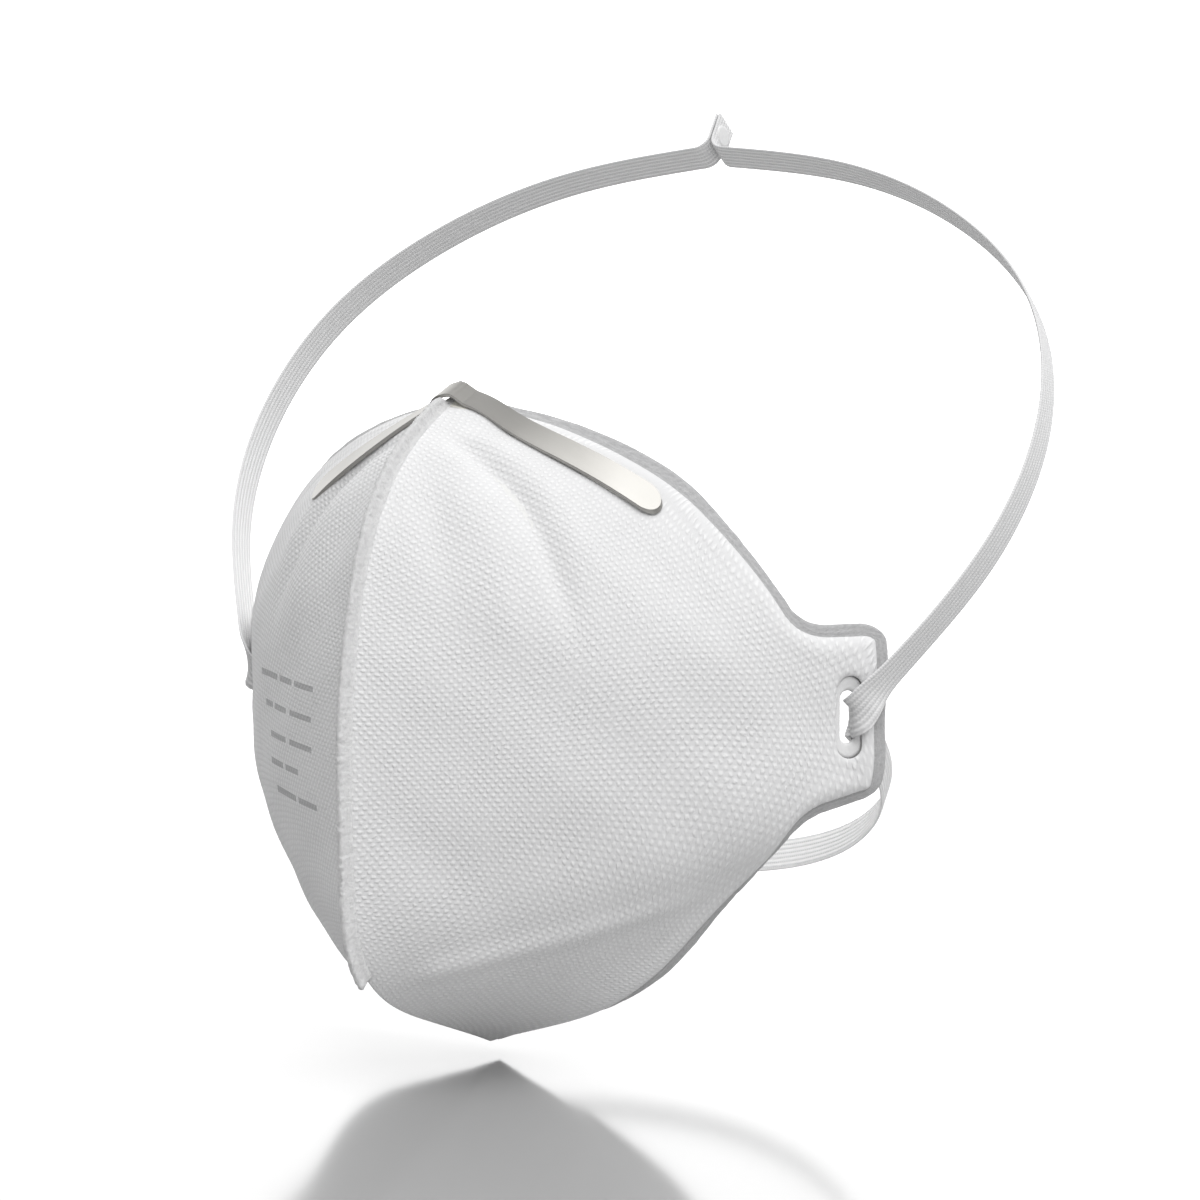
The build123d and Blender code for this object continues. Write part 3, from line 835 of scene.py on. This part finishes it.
# share of the way from the oval's edge to the slot, and height, of each point round the pressed weld
PRESS = (
    (0.0, -0.46), (0.3, -0.52), (0.8, -0.56), (0.96, -0.66), (1.0, -0.95), (1.0, -1.5), (0.95, -1.72),
    (0.75, -1.8), (0.3, -1.84), (0.0, -1.8),
)
outer = oval_ring(SLOT_OVAL[0] + 0.12, SLOT_OVAL[1])
inner = oval_ring(*SLOT_HOLE)
to_side_view = (math.cos(EAR_ANGLE), 1.0)
for side, suffix in ((1, "left"), (-1, "right")):
    rings = []
    for o, i in zip(outer / to_side_view, inner / to_side_view):
        rings.append([on_ear(*(o + (i - o) * k), out) for k, out in PRESS])
    rings = mirrored(rings, side)[::side]
    weld = sweep("slot_weld_" + suffix + "_pressed", rings, press_mat, closed=True)
    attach(weld, "mask")
    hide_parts("slot_weld_" + suffix)

# ---------------------------------------------------------------- nose clip and foam
HALF_CLIP = 3.0
# heights of the clip's faces over the cup, and its thickness
CLIP_OUTER, CLIP_INNER, CLIP_THICKNESS = 0.97, 0.17, 0.8
# the clip over the seam fin: x and rise of its rounded top, then a steep side, a knee and the arm
CREST = ((0.0, 2.5), (0.6, 2.47), (1.1, 2.38), (1.5, 2.22), (1.8, 2.0), (2.05, 1.72), (2.1, 1.65))
CREST_END, CREST_RISE = CREST[-1]
KNEE, STEP_END, ARM_START = 3.6, 4.95, 5.0
FOAM_HALF, FOAM_END, FOAM_DEPTH, FOAM_THICK = 4.5, 35.0, 4.18, 1.8
cs, sn = math.cos(NOSE_SLOPE), math.sin(NOSE_SLOPE)


def over_nose(x, e):
    """Height of the outer face along the bridge normal, over points across and along the bridge."""
    x, e = np.broadcast_arrays(np.asarray(x, float), np.asarray(e, float))
    shape = x.shape
    x, e = np.abs(x).ravel(), e.ravel()
    lo, hi = np.full(len(x), 20.0), np.full(len(x), 90.0)
    for _ in range(40):
        h = (lo + hi) / 2
        inside = half_width(e * cs - h * sn, e * sn + h * cs) > x
        lo, hi = np.where(inside, h, lo), np.where(inside, hi, h)
    return ((lo + hi) / 2).reshape(shape)


def bridge_point(x, e, h):
    """Point at a distance across, up the ridge and out from it."""
    e, h = np.asarray(e, float), np.asarray(h, float)
    return np.stack([np.broadcast_to(float(x), h.shape), e * cs - h * sn, e * sn + h * cs], axis=-1)


def steepness(x, e, dx):
    """How fast the cup falls away from the ridge, across x."""
    far, near = abs(x) + dx, max(abs(x) - dx, 0)
    return (over_nose(far, e) - over_nose(near, e)) / (far - near)


def flat_over_nose(x, e, half, across):
    """Height of a flat strip that lies on the cup at the middle of its width."""
    low, mid, high = over_nose(np.full(3, x), np.array([e - half, e, e + half]))
    return mid + (high - low) / (2 * half) * across


def line_over_nose(points):
    """Centre line of a strip seen square to the bridge."""
    points = np.array(points)
    curve = spline(points[:, 0], points[:, 1:])
    return lambda x: float(curve(np.clip(x, points[0, 0], points[-1, 0]))[0, 0])


clip_line_e = line_over_nose(CLIP_LINE)
foam_line_e = line_over_nose(FOAM_LINE)


def clip_over_fin(x, e, across, lift):
    """Outer face of the clip where it steps over the seam fin."""
    crest = flat_over_nose(0.0, e, HALF_CLIP, across)
    if abs(x) <= CREST_END:
        return crest + np.interp(abs(x), *np.transpose(CREST))
    start = crest + CREST_RISE
    end = flat_over_nose(STEP_END, e, HALF_CLIP, across) + CLIP_OUTER * lift
    knee = end + 0.25 * (start - end)
    if abs(x) <= KNEE:
        return start + (knee - start) * (abs(x) - CREST_END) / (KNEE - CREST_END)
    return knee + (end - knee) * (abs(x) - KNEE) / (STEP_END - KNEE)


def clip_ring(x):
    """Section of the clip at x, with softened edges, and its UVs."""
    e = clip_line_e(x)
    past = max(x - CLIP_LINE[-1][0], CLIP_LINE[0][0] - x, 0.0)
    w = math.sqrt(max(HALF_CLIP**2 - past**2, 0.0004))
    across = np.linspace(-1, 1, 7) * w
    lift = 1 / math.cos(math.atan(float(steepness(x, e, 0.2))))
    if abs(x) < STEP_END:
        outer_h = clip_over_fin(x, e, across, lift)
        inner_h = outer_h - CLIP_THICKNESS * lift
    else:
        h = flat_over_nose(x, e, HALF_CLIP, across)
        outer_h, inner_h = h + CLIP_OUTER * lift, h + CLIP_INNER * lift
    narrowed = e + across * (1 - 0.018 * min(1.0, w / 0.5))

    def edge(at, k):
        shares = np.array([0.85, 0.15])
        return bridge_point(x, np.full(2, at), outer_h[k] * shares + inner_h[k] * (1 - shares))

    outer, inner = bridge_point(x, narrowed, outer_h), bridge_point(x, narrowed, inner_h)
    ring = np.vstack([outer, edge(e + w, -1), inner[::-1], edge(e - w, 0)[::-1]])
    return ring, [(x, c) for c in np.r_[across, w, w, across[::-1], -w, -w]]


tip = HALF_CLIP * np.sin(np.linspace(0.1, math.pi / 2, 14))
step_x = np.r_[np.array(CREST)[:, 0], KNEE - 0.05, KNEE, STEP_END - 0.05]
clip_x = np.r_[CLIP_LINE[0][0] - tip[::-1], np.linspace(CLIP_LINE[0][0], -ARM_START, 36), -step_x[:0:-1]]
clip_x = np.r_[clip_x, step_x, np.linspace(ARM_START, CLIP_LINE[-1][0], 48), CLIP_LINE[-1][0] + tip]
rings, uvs = zip(*[clip_ring(float(x)) for x in clip_x])
clip = sweep("nose_clip_strip", rings, clip_mat, uv=np.array(uvs).reshape(-1, 2), caps=True)
flat_parts = [2.0 < abs(p.center.x) / MM < ARM_START for p in clip.data.polygons]
clip.data.polygons.foreach_set("use_smooth", [not part for part in flat_parts])
sharp = clip.modifiers.new("edge", "EDGE_SPLIT")
sharp.split_angle = math.radians(17)
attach(clip, "mask")
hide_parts("nose_clip")


def foam_ring(x):
    """Rounded section of the foam pad at x, inside the lining."""
    past = max(abs(x) - FOAM_END, 0.0)
    w = math.sqrt(max(FOAM_HALF**2 - past**2, 0.001))
    turn = np.linspace(0, 2 * math.pi, 28, endpoint=False)
    ce, ch = np.cos(turn), np.sin(turn)
    e = foam_line_e(x) + np.sign(ce) * np.abs(ce) ** 0.6 * w
    thick = FOAM_THICK * (0.35 + 0.65 * math.sqrt(min(1.0, w / FOAM_HALF)))
    level = FOAM_DEPTH - np.sign(ch) * np.abs(ch) ** 0.6 * thick
    grow = np.sqrt(1 + steepness(x, e, 0.5) ** 2)
    return bridge_point(x, e, over_nose(x, e) - level * grow)


tip = FOAM_HALF * np.sin(np.linspace(0.1, math.pi / 2, 10))
foam_x = np.r_[-FOAM_END - tip[::-1], np.linspace(-FOAM_END, FOAM_END, 70), FOAM_END + tip]
foam = sweep("nose_foam_pad", [foam_ring(float(x)) for x in foam_x], foam_mat, caps=True)
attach(foam, "mask")
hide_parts("nose_foam")

# ---------------------------------------------------------------- elastic band
HEAD_ANGLE = math.radians(56.0)
# x and distance from the slot axis of each loop's points, in the plane of the loop
HEAD_LOOP = (
    (82.3, 12.2), (94.8, 37.2), (99.7, 69.5), (91.0, 98.3), (70.0, 120.5), (38.0, 136.5), (4.0, 143.0),
)
TAIL_TOP = 153.0
TAIL_X = 0.45
TAIL_BEND = 3.5
NECK_ANGLE = math.radians(-40.0)
NECK_LOOP = ((77.0, 11.2), (74.8, 24.0), (67.0, 43.5), (54.5, 57.0), (32.0, 67.5), (0.0, 71.0))
# how far each point of the neck loop stands above the loop's plane, in degrees, and inside its x
NECK_LIFTS = (10.0, 9.0, 6.5, 4.5, 3.0, 2.5)
NECK_INSET = 2.0
RIBS = 7
BAND = 8.0
HALF_THICK, RIB_HEIGHT = 0.34, 0.07


def in_loop(x, reach, angle):
    """Point at x and a distance from the slot axis, in a plane through that axis."""
    return np.array([x, reach * math.cos(angle), reach * math.sin(angle)])


def ribbon(name, centres, widths, side, samples, ending=()):
    """A ribbed band along centre points, with its width direction at each."""
    centres, widths = np.array(centres, float), np.array(widths, float)
    run = np.r_[0, np.cumsum(np.linalg.norm(np.diff(centres, axis=0), axis=1))]
    path, turn = spline(run, centres), spline(run, widths)
    dense = np.linspace(0, run[-1], samples)
    p, w = path(dense), turn(dense)
    if len(ending):
        p, w = np.vstack([p, ending]), np.vstack([w, np.repeat(w[-1:], len(ending), axis=0)])
        run = np.r_[0, np.cumsum(np.linalg.norm(np.diff(p, axis=0), axis=1))]
        dense = np.linspace(0, run[-1], samples + 60)
        p, w = [np.column_stack([np.interp(dense, run, a[:, k]) for k in range(3)]) for a in (p, w)]
    t = np.gradient(p, axis=0)
    t /= np.linalg.norm(t, axis=1)[:, None]
    w -= t * (w * t).sum(axis=1)[:, None]
    w /= np.linalg.norm(w, axis=1)[:, None]
    n = np.cross(t, w)
    q = np.linspace(-1, 1, RIBS * 6 + 1)
    length = np.r_[0, np.cumsum(np.linalg.norm(np.diff(p, axis=0), axis=1))]
    pressed = smooth((length - 2.5) / 4)
    if not len(ending):  # the far end is in a slot as well
        pressed = pressed * pressed[::-1]
    rib = HALF_THICK + RIB_HEIGHT * np.cos(np.pi * RIBS * (q + 1) - np.pi) * pressed[:, None]
    rib = rib * np.sqrt(np.clip(1 - np.abs(q) ** 14, 0.02, 1))
    across = np.r_[q, q[::-1]] * BAND / 2
    thick = np.hstack([rib, -rib[:, ::-1]])
    rings = p[:, None] + w[:, None] * across[:, None] + n[:, None] * thick[:, :, None]
    rings = mirrored(rings, side)
    if side < 0:
        rings = rings[:, ::-1]
    uv = np.stack(np.broadcast_arrays(across + BAND / 2, length[:, None]), axis=2)
    if side < 0:
        uv = uv[:, ::-1]
    return sweep(name, rings, band_mat, uv=uv.reshape(-1, 2), caps=True)


UP = np.array([0, 0, 1.0])
head_width = np.array([0, -math.sin(HEAD_ANGLE), math.cos(HEAD_ANGLE)])
neck_width = np.array([0, -math.sin(NECK_ANGLE), math.cos(NECK_ANGLE)])


def tilt_between(a, b, k):
    """Unit vector a share of the way from one direction to another."""
    w = a * (1 - k) + b * k
    return w / np.linalg.norm(w)


# along, up and out from the slot: the band's way through it to the front, and to the back
HEAD_LEG = ((1.15, -0.3, -1.6), (1.15, 0.0, -0.3), (2.1, 1.4, 0.75), (5.2, 5.2, 1.2))
NECK_LEG = ((1.25, 0.1, -1.1), (1.3, -0.1, -2.3), (2.6, -1.2, -3.3), (5.3, -3.9, -3.7))
for side, suffix in ((1, "left"), (-1, "right")):
    centres = [on_ear(*point) for point in HEAD_LEG]
    leaning = tilt_between(UP, -along, 0.42)
    widths = [UP, UP, tilt_between(UP, leaning, 0.75), tilt_between(leaning, head_width, 0.6)]
    for x, reach in HEAD_LOOP:
        centres.append(in_loop(x, reach, HEAD_ANGLE))
        widths.append(head_width)
    last_x, last_reach = HEAD_LOOP[-1]
    bend = np.linspace(0, math.pi / 2, 14)[1:]
    top = [(last_x - TAIL_BEND * math.sin(k), last_reach + TAIL_BEND * (1 - math.cos(k))) for k in bend]
    top += [(TAIL_X + 0.05, TAIL_TOP - 4.0), (TAIL_X, TAIL_TOP - 2.0), (TAIL_X, TAIL_TOP)]
    ending = [in_loop(x, reach, HEAD_ANGLE) for x, reach in top]
    strap = ribbon("head_band_" + suffix + "_ribbed", centres, widths, side, 330, ending=ending)
    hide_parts("head_band_" + suffix, "band_turn_" + suffix)
    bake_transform(strap)

inner_leg = [on_ear(*point) for point in NECK_LEG]
inner_width = [UP, UP, tilt_between(UP, neck_width, 0.3), tilt_between(UP, neck_width, 0.7)]
left_half = [
    in_loop(max(x - NECK_INSET, 0), reach, NECK_ANGLE + math.radians(lift))
    for (x, reach), lift in zip(NECK_LOOP, NECK_LIFTS)
]
centres = inner_leg + left_half
widths = inner_width + [neck_width] * len(left_half)
centres = centres + [c * (-1, 1, 1) for c in centres[:-1][::-1]]
widths = widths + widths[:-1][::-1]
neck = ribbon("neck_band_ribbed", centres, widths, 1, 420)
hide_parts("neck_band")
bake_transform(neck)

# x and relative size of each ring of the weld spot, from one face to the other
SPOT_RINGS = ((-1.02, 0.75), (-0.98, 0.97), (-0.86, 1.0), (0.86, 1.0), (0.98, 0.97), (1.02, 0.75))
SPOT_REACH, SPOT_HEIGHT, SPOT_WIDTH = 149.2, 2.3, 2.9
spot = []
for x, size in SPOT_RINGS:
    turn = np.linspace(0, 2 * math.pi, 40, endpoint=False)
    reach = SPOT_REACH + SPOT_HEIGHT * size * np.sin(turn)
    offset = SPOT_WIDTH * size * np.cos(turn)
    centre = np.stack([np.full(40, x), reach * math.cos(HEAD_ANGLE), reach * math.sin(HEAD_ANGLE)], axis=1)
    spot.append(centre + head_width * offset[:, None])
strap_weld = sweep("strap_weld_spot", spot, press_mat, caps=True)
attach(strap_weld, "upper_strap")
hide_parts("strap_weld")

# ---------------------------------------------------------------- remaining CAD node
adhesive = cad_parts["nose_clip_adhesive"]
adhesive.data.materials.clear()
adhesive.data.materials.append(glue_mat)

# ---------------------------------------------------------------- floor, lights, camera
FLOOR_GAP = 0.0022
AZIMUTH, ELEVATION, DISTANCE = math.radians(31), math.radians(5), 0.574
TARGET = Vector((0.0095, 0.01251, 0.01959))
KEY_FROM = Vector((0.43, -0.28, 0.86))
SIDE_FROM = (0.8, -0.35, 0.48)

floor_mat, tree, shader = material("floor", (0.36, 0.36, 0.36), 0.12)
shader.inputs["IOR"].default_value = 2.3
bpy.ops.mesh.primitive_plane_add(size=12, location=(0, 0, cad_lo[2] - FLOOR_GAP))
floor = bpy.context.object
floor.name = "studio_floor"
floor.data.materials.append(floor_mat)

flat_out = math.cos(ELEVATION)
back = Vector((math.sin(AZIMUTH) * flat_out, -math.cos(AZIMUTH) * flat_out, math.sin(ELEVATION)))
world = bpy.data.worlds.new("studio")
bpy.context.scene.world = world
world.use_nodes = True
g = Graph(world.node_tree)
direction = g.node("ShaderNodeTexCoord").outputs["Generated"]


def lobe(axis, low, high):
    """0 to 1 as the world direction turns towards an axis."""
    n = world.node_tree.nodes.new("ShaderNodeVectorMath")
    n.operation = "DOT_PRODUCT"
    g.put(n.inputs[0], direction)
    n.inputs[1].default_value = axis
    r = g.node("ShaderNodeMapRange", Value=n.outputs["Value"])
    r.interpolation_type = "SMOOTHSTEP"
    r.inputs["From Min"].default_value, r.inputs["From Max"].default_value = low, high
    return r.outputs[0]


# a bright wall behind the object, a softer panel to its left, and a dim room elsewhere
backdrop = lobe(-back, 0.1, 0.94)
side = lobe(SIDE_FROM, -0.1, 1.0)
strength = g.math("MULTIPLY_ADD", side, 0.36, 0.34)
strength = g.math("MAXIMUM", strength, g.math("MULTIPLY", backdrop, 2.4))
g.put(world.node_tree.nodes["Background"].inputs[1], strength)
world.node_tree.nodes["Background"].inputs[0].default_value = (1, 1, 1, 1)

sun = bpy.data.lights.new("key", "SUN")
sun.energy, sun.angle = 2.15, math.radians(54)
key = bpy.data.objects.new("key", sun)
bpy.context.scene.collection.objects.link(key)
key.rotation_euler = (-KEY_FROM).to_track_quat("-Z", "Y").to_euler()

camera = bpy.data.objects.new("camera", bpy.data.cameras.new("camera"))
bpy.context.scene.collection.objects.link(camera)
camera.location = TARGET + back * DISTANCE
camera.rotation_mode = "QUATERNION"
camera.rotation_quaternion = (-back).to_track_quat("-Z", "Y")
camera.data.lens = 80.07
camera.data.sensor_width = 36.0
camera.data.clip_start, camera.data.clip_end = 0.01, 50
bpy.context.scene.camera = camera
bpy.context.scene.view_settings.view_transform = "Standard"
